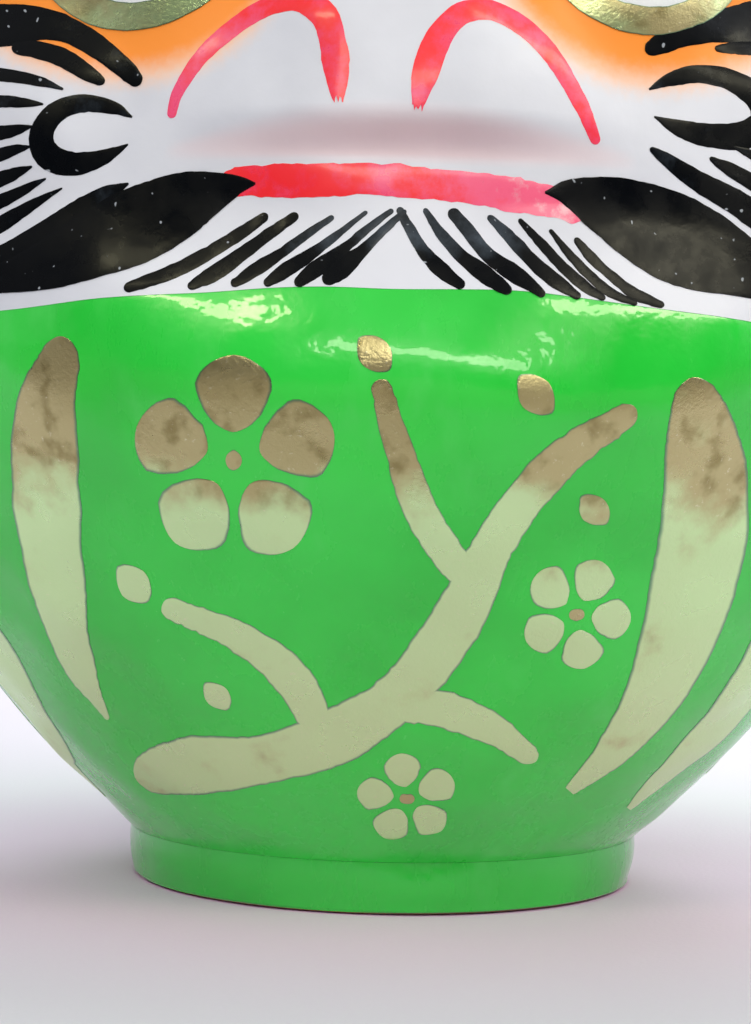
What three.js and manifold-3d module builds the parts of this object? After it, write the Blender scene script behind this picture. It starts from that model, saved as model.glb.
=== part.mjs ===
// A daruma doll: a hollow papier-mache figure glued on a weighted foot.
// Millimetres, +Z up. The origin is the middle of the flat underside and the face looks along -Y.

import * as THREE from 'three';
import { mergeVertices } from 'three/addons/utils/BufferGeometryUtils.js';
import Module from 'manifold-3d';

const wasm = await Module();
wasm.setup();

// ---- Driving dimensions ----

const OVERALL_HEIGHT = 300;
const GIRTH_RADIUS = 139; // half the width, at the widest level
const GIRTH_HALF_DEPTH = 132.5; // half the depth at that level
const GIRTH_HEIGHT = 145; // level of the widest ring above the table
const BELLY_POWER = 1.9; // how quickly the belly swells from the foot
const CROWN_POWER = 2.35; // 2 is a plain dome, more is squarer in the shoulder
const SHELL_WALL = 4;

const FOOT_TOP_RADIUS = 62; // where the shell sits on the foot
const FOOT_DRAFT = 1; // the foot is this much slimmer at the table
const FOOT_TOP = 11.5; // level of the seam between foot and shell
const FOOT_EDGE = 0.8; // worn corner of the foot
const RIM_LAND = 4.5; // width of the shell's rim that is glued down
const SPIGOT_RISE = 8; // the foot's collar stands this far inside the shell
const SPIGOT_WALL = 6;

const BASE_THICKNESS = 1.2; // card disc under the foot
const BASE_INSET = 0.5;
const CLAY_EDGE = 4; // straight side of the clay lump above the collar
const CLAY_RISE = 14; // its dome above that

const STRIP_WIDTH = 20; // paper strip over the slit in the back
const STRIP_THICKNESS = 0.6;
const STRIP_BOTTOM = 24;
const STRIP_TOP = 272;

const GAP = 0.3; // between pieces that touch

// The face is pressed into the front. Places are across (x) and up (z).
const FACE_HEIGHT = 196; // level of its middle
const FACE_HALF_WIDTH = 118;
const BROW_HALF_HEIGHT = 66; // the hollow's height above its middle
const BROW_SQUARENESS = 2.6; // roundness of its outline there
const CHIN_HALF_HEIGHT = 88; // and the same below its middle
const CHIN_SQUARENESS = 4;
const FACE_RIM_START = 0.68; // the hollow begins to rise to its rim here, as a share of the way out
const CHIN_RIM_START = 0.52; // and here below the mouth, where it leans out slowly to the belly
const FACE_DEPTH = 15;
const FACE_SIDE_LIFT = 6; // how much shallower the hollow is 100 mm to each side
const SIDE_FADE = 45; // the hollow dies out this far in front of the side

const NOSE_BOTTOM = 158;
const NOSE_TOP = 232;
const NOSE_HALF_WIDTH = 48;
const BRIDGE_HALF_WIDTH = 15;
const NOSE_RISE = 8;

const EYE_SPACING = 50.5; // from the middle to each eye's centre
const EYE_HEIGHT = 208;
const EYE_RADIUS = 29;
const EYE_RISE = 4;

const RIDGE_HEIGHT = 244; // the ridge that the brows are painted on
const RIDGE_HALF_HEIGHT = 14;
const RIDGE_HALF_WIDTH = 92;
const RIDGE_RISE = 5;

const CHEEK_SPACING = 78;
const CHEEK_HEIGHT = 168;
const CHEEK_RADIUS = 26;
const CHEEK_RISE = 4;

// ---- Facets ----

const AROUND = 64;
const BELLY_RINGS = 11;
const CROWN_RINGS = 18;

// ---- Sizes that follow ----

const SEAM = FOOT_TOP + GAP; // level of the shell's rim
const OPENING_RADIUS = FOOT_TOP_RADIUS - RIM_LAND;
const SPIGOT_RADIUS = OPENING_RADIUS - GAP;
const SPIGOT_TOP = SEAM + SPIGOT_RISE;
const BORE_RADIUS = SPIGOT_RADIUS - SPIGOT_WALL;
const FOOT_BOTTOM = BASE_THICKNESS + GAP;
const FOOT_BOTTOM_RADIUS = FOOT_TOP_RADIUS - FOOT_DRAFT;

const { lerp, smoothstep } = THREE.MathUtils;

// ---- The body's outline, as radius and height ----

// share runs from 0 at the seam to 1 at the girth.
function bellyPoint(share) {
  const z = lerp(SEAM, GIRTH_HEIGHT, share);
  const swell = (GIRTH_RADIUS - FOOT_TOP_RADIUS) * (1 - share) ** BELLY_POWER;
  return new THREE.Vector2(GIRTH_RADIUS - swell, z);
}

// share runs from 0 at the girth to 1 at the crown.
function crownPoint(share) {
  const turn = share * Math.PI / 2;
  const power = 2 / CROWN_POWER;
  const rise = OVERALL_HEIGHT - GIRTH_HEIGHT;
  const radius = share === 1 ? 0 : GIRTH_RADIUS * Math.cos(turn) ** power;
  return new THREE.Vector2(radius, GIRTH_HEIGHT + rise * Math.sin(turn) ** power);
}

function outline() {
  const points = [];
  for (let i = 0; i < BELLY_RINGS; i += 1) {
    points.push(bellyPoint(i / BELLY_RINGS));
  }
  for (let i = 0; i <= CROWN_RINGS; i += 1) {
    points.push(crownPoint(i / CROWN_RINGS));
  }
  return points;
}

// The outline moved outwards, square to itself, by a distance.
function offsetOutline(distance) {
  const points = outline();
  return points.map((point, i) => {
    if (i === points.length - 1) {
      return new THREE.Vector2(0, point.y + distance);
    }
    const before = points[Math.max(i - 1, 0)];
    const along = points[i + 1].clone().sub(before).normalize();
    return new THREE.Vector2(point.x + along.y * distance, point.y - along.x * distance);
  });
}

// ---- Relief of the front ----

function round(x, z, height, radius, rise) {
  const away = Math.hypot(x, z - height) / radius;
  return away < 1 ? rise * (1 - away ** 2) ** 2 : 0;
}

function noseRelief(x, z) {
  const up = (z - NOSE_BOTTOM) / (NOSE_TOP - NOSE_BOTTOM);
  const halfWidth = lerp(NOSE_HALF_WIDTH, BRIDGE_HALF_WIDTH, smoothstep(up, 0.1, 0.8));
  const rise = smoothstep(up, 0, 0.12) * (1 - smoothstep(up, 0.35, 1));
  return NOSE_RISE * rise * (1 - smoothstep(Math.abs(x) / halfWidth, 0.25, 1));
}

function ridgeRelief(x, z) {
  const across = 1 - smoothstep(Math.abs(x) / RIDGE_HALF_WIDTH, 0.6, 1);
  const up = 1 - smoothstep(Math.abs(z - RIDGE_HEIGHT) / RIDGE_HALF_HEIGHT, 0, 1);
  return RIDGE_RISE * across * up;
}

// How far the front lies behind the plain round body at a place.
function faceHollow(x, z) {
  const across = Math.abs(x) / FACE_HALF_WIDTH;
  const low = z < FACE_HEIGHT;
  const up = Math.abs(z - FACE_HEIGHT) / (low ? CHIN_HALF_HEIGHT : BROW_HALF_HEIGHT);
  const squareness = low ? CHIN_SQUARENESS : BROW_SQUARENESS;
  const out = (across ** squareness + up ** squareness) ** (1 / squareness);
  const rimStart = low ? lerp(FACE_RIM_START, CHIN_RIM_START, smoothstep(up, 0, 0.5)) : FACE_RIM_START;
  const inside = 1 - smoothstep(out, rimStart, 1);
  const depth = FACE_DEPTH - FACE_SIDE_LIFT * (x / 100) ** 2;
  const side = Math.abs(x);
  const features = noseRelief(x, z) + ridgeRelief(x, z)
    + round(side - EYE_SPACING, z, EYE_HEIGHT, EYE_RADIUS, EYE_RISE)
    + round(side - CHEEK_SPACING, z, CHEEK_HEIGHT, CHEEK_RADIUS, CHEEK_RISE);
  return inside * (depth - features);
}

// Turns the round body into the doll's: less deep than wide, with the face pressed in.
function shapeBody(geometry) {
  const place = geometry.attributes.position;
  const flattened = GIRTH_HALF_DEPTH / GIRTH_RADIUS;
  for (let i = 0; i < place.count; i += 1) {
    const x = place.getX(i);
    const z = place.getZ(i);
    const full = smoothstep(z, SEAM, GIRTH_HEIGHT / 2);
    let y = place.getY(i) * lerp(1, flattened, full);
    y += smoothstep(-y, 0, SIDE_FADE) * faceHollow(x, z);
    place.setY(i, y);
  }
  return geometry;
}

// ---- Solids ----

// A solid turned about +Z from an outline of radius and height, with +Y at the back.
function turned(points) {
  const geometry = new THREE.LatheGeometry(points, AROUND);
  geometry.rotateX(Math.PI / 2);
  geometry.deleteAttribute('normal');
  geometry.deleteAttribute('uv');
  return mergeVertices(geometry, 1e-4);
}

function toSolid(geometry) {
  const bare = geometry.clone();
  bare.deleteAttribute('normal');
  bare.deleteAttribute('uv');
  const merged = mergeVertices(bare, 1e-4);
  return new wasm.Manifold(new wasm.Mesh({
    numProp: 3,
    vertProperties: new Float32Array(merged.attributes.position.array),
    triVerts: new Uint32Array(merged.index.array),
  }));
}

function toGeometry(solid) {
  const mesh = solid.getMesh();
  const geometry = new THREE.BufferGeometry();
  geometry.setAttribute('position', new THREE.BufferAttribute(mesh.vertProperties, 3));
  geometry.setIndex(new THREE.BufferAttribute(mesh.triVerts, 1));
  return geometry;
}

// The hollow figure, open at the bottom where it is glued to the foot.
function shellGeometry() {
  const inner = offsetOutline(-SHELL_WALL).reverse();
  const rim = [new THREE.Vector2(OPENING_RADIUS, SEAM)];
  return shapeBody(turned([...inner, ...rim, ...outline()]));
}

// The slit through which the paper was taken off its form runs up the back, under this strip.
function stripGeometry() {
  const inRange = (point) => point.y > STRIP_BOTTOM && point.y < STRIP_TOP;
  const under = offsetOutline(GAP).filter(inRange);
  const over = offsetOutline(GAP + STRIP_THICKNESS).filter(inRange);
  const skin = shapeBody(turned([...over, ...under.reverse(), over[0]]));
  const reach = 2 * GIRTH_RADIUS;
  const slab = new THREE.BoxGeometry(STRIP_WIDTH, reach, 2 * OVERALL_HEIGHT);
  slab.translate(0, reach / 2, 0);
  return toGeometry(toSolid(skin).intersect(toSolid(slab)));
}

// The foot: a moulded ring with a collar that stands inside the shell's opening.
function footGeometry() {
  return turned([
    new THREE.Vector2(BORE_RADIUS, FOOT_BOTTOM),
    new THREE.Vector2(FOOT_BOTTOM_RADIUS - FOOT_EDGE, FOOT_BOTTOM),
    new THREE.Vector2(FOOT_BOTTOM_RADIUS, FOOT_BOTTOM + FOOT_EDGE),
    new THREE.Vector2(FOOT_TOP_RADIUS, FOOT_TOP - FOOT_EDGE),
    new THREE.Vector2(FOOT_TOP_RADIUS - FOOT_EDGE, FOOT_TOP),
    new THREE.Vector2(SPIGOT_RADIUS, FOOT_TOP),
    new THREE.Vector2(SPIGOT_RADIUS, SPIGOT_TOP),
    new THREE.Vector2(BORE_RADIUS, SPIGOT_TOP),
    new THREE.Vector2(BORE_RADIUS, FOOT_BOTTOM),
  ]);
}

// The clay lump that keeps the doll upright: it fills the foot's bore and domes up inside.
function clayGeometry() {
  const shoulder = SPIGOT_TOP + GAP;
  const points = [
    new THREE.Vector2(0, FOOT_BOTTOM),
    new THREE.Vector2(BORE_RADIUS - GAP, FOOT_BOTTOM),
    new THREE.Vector2(BORE_RADIUS - GAP, shoulder),
    new THREE.Vector2(SPIGOT_RADIUS, shoulder),
  ];
  const steps = 6;
  for (let i = 0; i <= steps; i += 1) {
    const turn = (i / steps) * Math.PI / 2;
    const radius = i === steps ? 0 : SPIGOT_RADIUS * Math.cos(turn);
    points.push(new THREE.Vector2(radius, shoulder + CLAY_EDGE + CLAY_RISE * Math.sin(turn)));
  }
  return turned(points);
}

// The card disc glued over the clay and the foot's underside.
function baseGeometry() {
  const radius = FOOT_BOTTOM_RADIUS - BASE_INSET;
  return turned([
    new THREE.Vector2(0, 0),
    new THREE.Vector2(radius, 0),
    new THREE.Vector2(radius, BASE_THICKNESS),
    new THREE.Vector2(0, BASE_THICKNESS),
  ]);
}

// ---- Assembly ----

function piece(name, geometry, colour, roughness) {
  geometry.computeVertexNormals();
  const material = new THREE.MeshStandardMaterial({ color: colour, roughness, metalness: 0 });
  const mesh = new THREE.Mesh(geometry, material);
  mesh.name = name;
  return mesh;
}

const doll = new THREE.Group();
doll.name = 'daruma_doll';
doll.add(
  piece('paper_shell', shellGeometry(), 0x2fb53c, 0.25),
  piece('seam_strip', stripGeometry(), 0x2fb53c, 0.3),
  piece('foot_ring', footGeometry(), 0x2a9c38, 0.3),
  piece('clay_weight', clayGeometry(), 0x8c7a66, 0.9),
  piece('base_disc', baseGeometry(), 0x9a6b4e, 0.9),
);

export default doll;
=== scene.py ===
"""Daruma doll: lacquer, chalk ground, ink and bronze brushwork on a papier-mache body.

Run as a script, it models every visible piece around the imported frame.
Lengths in the settings are metres. The body's own formulas work in millimetres.
The face looks along -Y, and +X is on the viewer's right.
"""

import math

import bpy
import numpy as np
from bpy.props import FloatProperty, FloatVectorProperty, IntProperty, PointerProperty
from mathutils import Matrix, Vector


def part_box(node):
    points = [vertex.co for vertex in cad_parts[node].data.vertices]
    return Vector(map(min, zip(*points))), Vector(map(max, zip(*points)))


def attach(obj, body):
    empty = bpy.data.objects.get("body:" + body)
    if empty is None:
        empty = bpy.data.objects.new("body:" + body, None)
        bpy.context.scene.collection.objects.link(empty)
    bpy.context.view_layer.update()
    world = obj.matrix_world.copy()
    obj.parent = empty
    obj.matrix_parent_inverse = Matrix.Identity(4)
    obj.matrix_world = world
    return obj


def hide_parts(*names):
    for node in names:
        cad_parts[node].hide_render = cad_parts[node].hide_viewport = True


bl_info = {
    "name": "Daruma Doll",
    "version": (1, 0, 0),
    "blender": (4, 5, 0),
    "location": "View3D > Sidebar > Daruma",
    "description": "Models a painted papier-mache daruma doll around its frame",
    "category": "Object",
}

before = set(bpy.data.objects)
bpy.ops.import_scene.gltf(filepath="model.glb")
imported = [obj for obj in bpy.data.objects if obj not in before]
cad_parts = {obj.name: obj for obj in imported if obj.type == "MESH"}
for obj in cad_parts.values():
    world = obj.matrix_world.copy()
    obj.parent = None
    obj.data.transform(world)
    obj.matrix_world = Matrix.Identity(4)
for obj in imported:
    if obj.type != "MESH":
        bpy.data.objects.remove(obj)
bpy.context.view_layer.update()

MM = 0.001


# ---- The body in millimetres, taken from the frame ----

SHELL_LOW, SHELL_HIGH = (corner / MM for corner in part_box("paper_shell"))
FOOT_LOW, FOOT_HIGH = (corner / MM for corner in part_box("foot_ring"))
STRIP_LOW, STRIP_HIGH = (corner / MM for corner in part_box("seam_strip"))
_, BASE_HIGH = (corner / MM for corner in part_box("base_disc"))

GIRTH_RADIUS = SHELL_HIGH.x
GIRTH_HALF_DEPTH = SHELL_HIGH.y
CROWN = SHELL_HIGH.z
SEAM = SHELL_LOW.z
FOOT_RADIUS = FOOT_HIGH.x
GIRTH_HEIGHT = 145.0
BELLY_POWER = 1.9
CROWN_POWER = 2.35
SHELL_WALL = 4.0

# The hollow that the face lies in.
FACE_HEIGHT = 196.0
FACE_HALF_WIDTH = 118.0
BROW_HALF_HEIGHT = 66.0
BROW_SQUARENESS = 2.6
CHIN_HALF_HEIGHT = 88.0
CHIN_SQUARENESS = 4.0
FACE_RIM_START = 0.68
CHIN_RIM_START = 0.52
FACE_DEPTH = 15.0
FACE_SIDE_LIFT = 6.0
SIDE_FADE = 45.0

# The white ground laid in the hollow.
GROUND_HALF_WIDTH = 113.5
GROUND_RISE = 64.5
GROUND_DROP = 63.8
GROUND_DROOP = 0.2
GROUND_SQUARENESS = 6.0
UNDER_GROUND = 0.5

# The brushwork's middle lies a little to the left of the body's.
PAINT_MIDDLE = -2.4

# How far paint lies above the robe, above the white ground, and above other paint.
ON_ROBE = 0.06
ON_GROUND = 0.06
OVERLAP = 0.12
# Thickness of each coat, most of it sunk in what it lies on.
STROKE_DEPTH = 0.4
GROUND_DEPTH = 0.75
EYE_WHITE_DEPTH = 0.3

# The blush fades from one radius round each eye to the next. A lens of painted shade lies under the nose.
BLUSH_INNER = 25.0
BLUSH_OUTER = 40.0
SHADE_HALF_WIDTH = 46.0
SHADE_LOW = 156.5
SHADE_HIGH = 159.0
SHADE_STRENGTH = 0.45

# Width of the shell's lower rim that stands on the foot.
RIM_LAND = 4.5

NOSE_BOTTOM = 158.0
NOSE_TOP = 232.0
NOSE_HALF_WIDTH = 48.0
BRIDGE_HALF_WIDTH = 15.0
NOSE_RISE = 6.0

EYE_SPACING = 50.5
EYE_HEIGHT = 208.0
RIDGE_HEIGHT = 244.0
CHEEK_SPACING = 78.0
CHEEK_HEIGHT = 168.0


def smooth(value, low, high):
    """Nought at low, one at high, with soft ends."""
    share = np.clip((value - low) / (high - low), 0, 1)
    return share * share * (3 - 2 * share)


def outline_radius(z):
    """Radius of the plain round body at a height."""
    below = np.clip((GIRTH_HEIGHT - z) / (GIRTH_HEIGHT - SEAM), 0, 1.2)
    belly = GIRTH_RADIUS - (GIRTH_RADIUS - FOOT_RADIUS) * below**BELLY_POWER
    above = np.clip((z - GIRTH_HEIGHT) / (CROWN - GIRTH_HEIGHT), 0, 1)
    crown = GIRTH_RADIUS * (1 - above**CROWN_POWER) ** (1 / CROWN_POWER)
    return np.where(z < GIRTH_HEIGHT, belly, crown)


def swelling(x, z, height, radius, rise):
    """A low round bump."""
    away = np.hypot(x, z - height) / radius
    return np.where(away < 1, rise * (1 - away**2) ** 2, 0)


def nose_relief(x, z):
    up = (z - NOSE_BOTTOM) / (NOSE_TOP - NOSE_BOTTOM)
    half_width = NOSE_HALF_WIDTH + (BRIDGE_HALF_WIDTH - NOSE_HALF_WIDTH) * smooth(up, 0.1, 0.8)
    rise = smooth(up, 0, 0.12) * (1 - smooth(up, 0.35, 1))
    return NOSE_RISE * rise * (1 - smooth(np.abs(x) / half_width, 0.25, 1))


def ridge_relief(x, z):
    across = 1 - smooth(np.abs(x) / 92.0, 0.6, 1)
    return 5.0 * across * (1 - smooth(np.abs(z - RIDGE_HEIGHT) / 14.0, 0, 1))


def face_hollow(x, z):
    """How far the front lies behind the plain round body."""
    low = z < FACE_HEIGHT
    squareness = np.where(low, CHIN_SQUARENESS, BROW_SQUARENESS)
    across = np.abs(x) / FACE_HALF_WIDTH
    up = np.abs(z - FACE_HEIGHT) / np.where(low, CHIN_HALF_HEIGHT, BROW_HALF_HEIGHT)
    out = (across**squareness + up**squareness) ** (1 / squareness)
    chin = (CHIN_RIM_START - FACE_RIM_START) * smooth(up, 0, 0.5)
    rim_start = FACE_RIM_START + np.where(low, chin, 0)
    inside = 1 - smooth((out - rim_start) / (1 - rim_start), 0, 1)
    depth = FACE_DEPTH - FACE_SIDE_LIFT * (x / 100) ** 2
    side = np.abs(x)
    features = nose_relief(x, z) + ridge_relief(x, z)
    features = features + swelling(side - EYE_SPACING, z, EYE_HEIGHT, 29.0, 4.0)
    features = features + swelling(side - CHEEK_SPACING, z, CHEEK_HEIGHT, 26.0, 4.0)
    return inside * (depth - features)


def flattened(y, z):
    """The plain round body is a little less deep than it is wide."""
    share = smooth(z, SEAM, GIRTH_HEIGHT / 2)
    return y * (1 + (GIRTH_HALF_DEPTH / GIRTH_RADIUS - 1) * share)


def plain_place(angle, z):
    """A point of the smooth body. The angle is in radians from the front, positive to the right."""
    radius = outline_radius(z)
    x = radius * np.sin(angle)
    y = flattened(-radius * np.cos(angle), z)
    y = y + smooth(-y, 0, SIDE_FADE) * face_hollow(x, z)
    return np.stack([x, y, z * np.ones_like(x)], -1)


def facing(angle, z):
    """The outward direction of the smooth body."""
    turn, step = 0.002, 0.1
    z_low, z_high = np.minimum(z - step, CROWN - 2 * step), np.minimum(z + step, CROWN)
    along = plain_place(angle + turn, z) - plain_place(angle - turn, z)
    up = plain_place(angle, z_high) - plain_place(angle, z_low)
    out = np.cross(along, up)
    return out / np.maximum(np.linalg.norm(out, axis=-1, keepdims=True), 1e-9)


# Pasted paper is never quite even: a few long waves and some shorter ones, each a random direction.
RIPPLES = [(62.0, 0.16), (41.0, 0.13), (29.0, 0.09), (21.0, 0.07), (15.0, 0.045)]


def ripple(place):
    """Height of the paper's unevenness at a point of the body."""
    rng = np.random.default_rng(11)
    height = np.zeros(place.shape[:-1])
    for wavelength, rise in RIPPLES:
        for _ in range(4):
            direction = rng.normal(size=3)
            direction *= 2 * math.pi / wavelength / np.linalg.norm(direction)
            height = height + rise * np.sin(place @ direction + rng.uniform(0, 2 * math.pi))
    # It dies out where the shell is glued to the foot.
    return height * smooth(np.abs(place[..., 2] - SEAM), 0.5, 8)


def skin_place(angle, z, lift=0.0):
    """A point of the real, uneven body, or above it by lift."""
    place = plain_place(angle, z)
    height = ripple(place) + lift
    return place + facing(angle, z) * np.asarray(height)[..., None]


def front_angle(x, z):
    """The angle round the body of a point seen from straight ahead at x and z."""
    return np.arcsin(np.clip(x / outline_radius(z), -0.999, 0.999))


# ---- Mesh helpers ----


def deselect():
    if bpy.context.object and bpy.context.object.mode != "OBJECT":
        bpy.ops.object.mode_set(mode="OBJECT")
    bpy.ops.object.select_all(action="DESELECT")


def activate(piece):
    deselect()
    piece.select_set(True)
    bpy.context.view_layer.objects.active = piece


def read_places(piece):
    flat = np.empty(len(piece.data.vertices) * 3)
    piece.data.vertices.foreach_get("co", flat)
    return flat.reshape(-1, 3)


def write_places(piece, places):
    piece.data.vertices.foreach_set("co", np.asarray(places).ravel())
    piece.data.update()


def write_attribute(piece, name, values):
    attribute = piece.data.attributes.new(name, "FLOAT", "POINT")
    attribute.data.foreach_set("value", np.asarray(values, np.float32).ravel())


def start_grid(along, across):
    """A flat grid primitive from -1 to 1 both ways, to be laid on the body."""
    deselect()
    bpy.ops.mesh.primitive_grid_add(x_subdivisions=along, y_subdivisions=across, size=2)
    return bpy.context.object


def apply_modifier(piece, kind, **values):
    activate(piece)
    modifier = piece.modifiers.new(kind.title(), kind)
    for key, value in values.items():
        setattr(modifier, key, value)
    bpy.ops.object.modifier_apply(modifier=modifier.name)


def smooth_faces(piece, sharpest=40):
    activate(piece)
    bpy.ops.object.shade_smooth_by_angle(angle=math.radians(sharpest))


def join(name, pieces):
    """Several pieces made one, which takes the name."""
    deselect()
    for piece in pieces:
        piece.select_set(True)
    bpy.context.view_layer.objects.active = pieces[0]
    if len(pieces) > 1:
        bpy.ops.object.join()
    pieces[0].name = name
    pieces[0].data.name = name
    return pieces[0]


def thicken(piece, depth):
    """Gives a laid skin its thickness, down into what it lies on."""
    apply_modifier(piece, "SOLIDIFY", thickness=depth * MM, offset=-1)


def spun(name, section, steps):
    """A turned solid from a closed section of radius and height, in millimetres."""
    deselect()
    bpy.ops.mesh.primitive_circle_add(vertices=len(section), radius=1, fill_type="NOTHING")
    piece = bpy.context.object
    piece.name = name
    places = np.zeros((len(section), 3))
    places[:, 1] = [-radius * MM for radius, _ in section]
    places[:, 2] = [height * MM for _, height in section]
    write_places(piece, places)
    bpy.ops.object.mode_set(mode="EDIT")
    bpy.ops.mesh.select_all(action="SELECT")
    bpy.ops.mesh.spin(steps=steps, angle=2 * math.pi, center=(0, 0, 0), axis=(0, 0, 1))
    bpy.ops.mesh.select_all(action="SELECT")
    bpy.ops.mesh.remove_doubles(threshold=0.01 * MM)
    bpy.ops.mesh.delete_loose()
    bpy.ops.mesh.select_all(action="SELECT")
    bpy.ops.mesh.normals_make_consistent(inside=False)
    bpy.ops.object.mode_set(mode="OBJECT")
    return piece


def coat(piece, maker):
    """Gives a piece its one material."""
    piece.data.materials.clear()
    piece.data.materials.append(paint(maker))


def settle(piece, maker, replaced=()):
    """Gives a finished piece its material and its place in the frame."""
    coat(piece, maker)
    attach(piece, "root")
    if replaced:
        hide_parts(*replaced)


# ---- Brush strokes ----


def flow(points, count=400):
    """A smooth curve through points of any number of values, evenly stepped along its length."""
    points = np.asarray(points, float)
    ends = [2 * points[0] - points[1], *points, 2 * points[-1] - points[-2]]
    share = np.linspace(0, 1, 24, endpoint=False)[:, None]
    spans = []
    for before, start, end, after in zip(ends, ends[1:], ends[2:], ends[3:]):
        bend = 2 * before - 5 * start + 4 * end - after
        twist = 3 * start - before - 3 * end + after
        spans.append(start + 0.5 * share * ((end - before) + share * (bend + share * twist)))
    curve = np.vstack([*spans, points[-1:]])
    length = np.concatenate([[0], np.cumsum(np.linalg.norm(np.diff(curve[:, :2], axis=0), axis=1))])
    steps = np.linspace(0, length[-1], count)
    return np.stack([np.interp(steps, length, column) for column in curve.T], -1)


def wander(rng, length, step):
    """A random line of about unit height, as a function of distance."""
    spots = np.arange(-step, length + 2 * step, step)
    values = rng.normal(size=len(spots)) * 0.6
    return lambda distance: np.interp(distance, spots, values)


def stroke(route, lift, seed, ends=("round", "round"), around=False, rough=0.12, dry=1.2, load=None):
    """One brush stroke laid on the body.

    The route gives places across and up with the half width there. Across is millimetres as seen
    from the front, or degrees round the body if around is true. Ends are round, sharp or dry, and
    a dry end breaks up over dry times its width. Load gives the paint's thickness from the share of
    the way along and the height.
    """
    rng = np.random.default_rng(seed)
    line = flow(route)
    scale = outline_radius(line[:, 1]) * math.pi / 180 if around else np.ones(len(line))
    run = np.stack([np.gradient(line[:, 0]) * scale, np.gradient(line[:, 1])], -1)
    pace = np.linalg.norm(run, axis=1)
    run /= np.maximum(pace[:, None], 1e-9)
    distance = np.concatenate([[0], np.cumsum((pace[1:] + pace[:-1]) / 2)])
    length = distance[-1]
    widest = float(line[:, 2].max())
    along = int(np.clip(length / 0.75, 16, 220))
    across = int(np.clip(2 * widest / 0.65, 6, 28))
    piece = start_grid(along, across)
    flat = read_places(piece)
    share = (1 - np.cos((flat[:, 0] + 1) * math.pi / 2)) / 2
    side = flat[:, 1]

    # A dry end breaks into bristle marks of uneven length.
    bristle = np.linspace(-1, 1, across + 1)
    reach = min(dry * widest / length, 0.4)
    begin = np.interp(side, bristle, reach * rng.uniform(0, 1, across + 1) * (ends[0] == "dry"))
    finish = 1 - np.interp(side, bristle, reach * rng.uniform(0, 1, across + 1) * (ends[1] == "dry"))
    spot = length * (begin + (finish - begin) * share)
    half = np.interp(spot, distance, line[:, 2])
    for kind, gap, cap in ((ends[0], spot, line[0, 2]), (ends[1], length - spot, line[-1, 2])):
        if kind == "round":
            half = half * np.sqrt(1 - np.clip(1 - gap / cap, 0, 1) ** 2)
    sway = wander(rng, length, 7.0)
    edges = [[wander(rng, length, step) for step in (2.2, 0.8)] for _ in range(2)]
    left, right = (0.6 * slow(spot) + 0.7 * quick(spot) for slow, quick in edges)
    half = half * (1 + 0.04 * sway(spot))
    half = half + rough * np.where(side > 0, left, right) * np.minimum(half, 1) * np.abs(side)
    half = np.maximum(half, 0.02)

    centre = [np.interp(spot, distance, line[:, axis]) for axis in range(2)]
    way = [np.interp(spot, distance, run[:, axis]) for axis in range(2)]
    up = centre[1] + way[0] * half * side
    middle = 0 if around else PAINT_MIDDLE
    over = middle + centre[0] - way[1] * half * side / np.interp(spot, distance, scale)
    angle = np.radians(over) if around else front_angle(over, up)
    crown = min(0.03 + 0.012 * widest, 0.09)
    height = lift + crown * np.sqrt(np.clip(1 - side**2, 0, 1))
    write_places(piece, skin_place(angle, up, height) * MM)
    write_attribute(piece, "across", side)
    write_attribute(piece, "load", np.ones_like(side) if load is None else load(spot / length, up))
    return piece


def growing(start, end, low, high):
    """A brush load that goes from start to end between two shares of the stroke's length."""
    return lambda share, height: start + (end - start) * smooth(share, low, high)


def denser(start):
    """A brush load that rises by 0.2 along the stroke."""
    return lambda share, height: start + 0.2 * share


def mirrored(route):
    """The same stroke on the other side of the face."""
    return [(-across, up, half) for across, up, half in route]


def brushwork(name, strokes, maker):
    """Joins laid strokes of one kind into a finished piece of paint."""
    piece = join(name, strokes)
    thicken(piece, STROKE_DEPTH)
    smooth_faces(piece, 50)
    settle(piece, maker)
    return piece


# ---- Materials ----

SOFT = {"interpolation_type": "SMOOTHSTEP"}
COLOUR = {"data_type": "RGBA"}


def linear(code):
    """An sRGB hex colour as linear values."""
    values = [int(code[i : i + 2], 16) / 255 for i in (1, 3, 5)]
    values = [v / 12.92 if v <= 0.04045 else ((v + 0.055) / 1.055) ** 2.4 for v in values]
    return (*values, 1.0)


def per(size):
    """Noise scale for blotches of a real size in millimetres."""
    return 1 / (size * MM)


def add(tree, kind, inputs=(), **settings):
    """Adds a node and gives its first output. Its inputs, in order or by name, are sockets or values."""
    node = tree.nodes.new("ShaderNode" + kind)
    for key, value in settings.items():
        setattr(node, key, value)
    if isinstance(inputs, dict):
        pairs = [(node.inputs[name], value) for name, value in inputs.items()]
    else:
        pairs = zip([socket for socket in node.inputs if socket.enabled], inputs)
    for socket, value in pairs:
        if isinstance(value, bpy.types.NodeSocket):
            tree.links.new(value, socket)
        else:
            socket.default_value = value
    return [socket for socket in node.outputs if socket.enabled][0]


def start_material(name, **surface):
    """A new material with its shader's constant values, its node tree and the object coordinates."""
    material = bpy.data.materials.new(name)
    material.use_nodes = True
    tree = material.node_tree
    shader = tree.nodes["Principled BSDF"]
    for key, value in surface.items():
        shader.inputs[key.replace("_", " ")].default_value = value
    place = add(tree, "TexCoord").node.outputs["Object"]
    return material, tree, place


def finish_material(material, tint, gloss, height, depth, normals=("Normal",)):
    """Links the shader's colour, its roughness if it varies, and a relief of a depth in millimetres."""
    tree = material.node_tree
    shader = tree.nodes["Principled BSDF"]
    relief = add(tree, "Bump", {"Height": height, "Distance": depth * MM, "Strength": 1.0})
    tree.links.new(tint, shader.inputs["Base Color"])
    if gloss:
        tree.links.new(gloss, shader.inputs["Roughness"])
    for name in normals:
        tree.links.new(relief, shader.inputs[name])
    return material


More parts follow.
